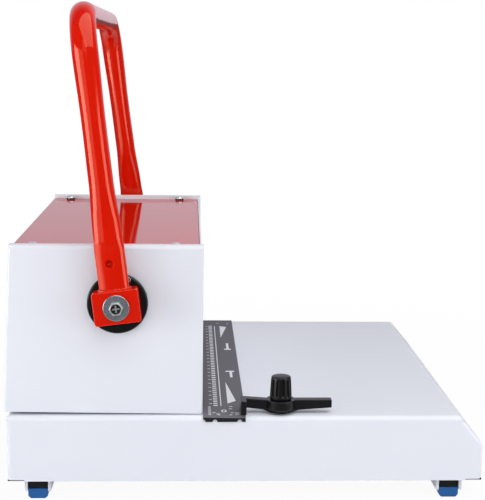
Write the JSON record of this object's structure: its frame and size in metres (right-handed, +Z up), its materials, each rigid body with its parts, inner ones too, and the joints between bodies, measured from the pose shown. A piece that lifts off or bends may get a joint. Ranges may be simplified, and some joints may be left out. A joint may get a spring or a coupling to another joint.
{
  "type": "coil binding machine",
  "caption": "Desktop coil binding punch: a red U-shaped lever turns a cam shaft that drives a row of round punch pins through paper on a white table with an edge guide and chip tray.",
  "frame": {"origin": "middle of the overall box in X and Y, on the plane the feet stand on", "axes": "+X towards the operator, +Y along the punching line away from the edge guide's side, +Z up"},
  "size_m": [0.403, 0.4004, 0.4132],
  "materials": {
    "white_paint": "white powder coat",
    "red_paint": "red gloss enamel",
    "dark_paint": "dark paint",
    "scale_grey": "dark grey anodised",
    "black_plastic": "black moulded",
    "black_rubber": "matt",
    "blue_pad": "blue elastomer",
    "tool_steel": "ground",
    "zinc": "bright zinc plate",
    "black_oxide": "black oxide",
    "bronze": "sintered bush"
  },
  "bodies": {
    "chassis": {"back_stop": "tool_steel", "base_shell": "white_paint", "bottom_plate": "dark_paint", "bottom_screws": "zinc", "bush_left": "black_plastic", "bush_right": "black_plastic", "cover_screws": "zinc", "die_plate": "tool_steel", "end_panel_left": "white_paint", "end_panel_right": "white_paint", "flange_screws": "zinc", "foot_blocks": "black_rubber", "foot_brackets": "white_paint", "foot_pads": "blue_pad", "foot_screws": "zinc", "frame_bolts": "black_oxide", "frame_feet_bolts": "zinc", "front_panel": "white_paint", "guide_rods": "tool_steel", "pin_guide": "tool_steel", "rear_panel": "white_paint", "return_springs": "tool_steel", "scale_plate": "scale_grey", "shell_screws": "zinc", "side_frame_left": "tool_steel", "side_frame_right": "tool_steel", "standoff_screws": "zinc", "standoffs": "zinc", "tie_bars": "tool_steel", "top_cover": "red_paint", "tray_runners": "tool_steel"},
    "handle": {"handle_tube": "red_paint", "clamp_block_left": "red_paint", "clamp_block_right": "red_paint", "main_shaft": "tool_steel", "cam_left": "tool_steel", "cam_right": "tool_steel", "cam_keys": "zinc", "handle_washers": "zinc", "handle_bolts": "zinc"},
    "press": {"press_beam": "tool_steel", "yoke_left": "tool_steel", "yoke_right": "tool_steel", "pin_retainer": "tool_steel", "punch_pins": "tool_steel", "beam_bushes": "bronze", "yoke_screws": "black_oxide", "retainer_screws": "black_oxide"},
    "edge_guide": {"guide_bar": "black_plastic", "guide_bolt": "zinc"},
    "knob": {"guide_knob": "black_plastic"},
    "tray": {"chip_tray": "black_plastic"}
  },
  "joints": [
    {"name": "handle_swing", "type": "hinge", "parent": "chassis", "child": "handle", "pos_m": [-0.1065, 0, 0.169], "axis": [0, 1, 0], "range_deg": [0, 85]},
    {"name": "press_slide", "type": "slide", "parent": "chassis", "child": "press", "axis": [0, 0, -1], "range_m": [0, 0.00947], "stiffness_N_per_m": 3000, "springref_m": -0.02, "deforming": ["return_springs"]},
    {"name": "guide_slide", "type": "slide", "parent": "chassis", "child": "edge_guide", "axis": [0, 1, 0], "range_m": [0, 0.04]},
    {"name": "knob_turn", "type": "hinge", "parent": "edge_guide", "child": "knob", "pos_m": [0.03, -0.167, 0.0856], "axis": [0, 0, 1], "range_deg": [0, 360]},
    {"name": "tray_slide", "type": "slide", "parent": "chassis", "child": "tray", "axis": [-1, 0, 0], "range_m": [0, 0.13]}
  ],
  "couplings": [
    {"joint": "press_slide", "follows": "handle_swing", "m_per_rad": 0.0063755}
  ]
}
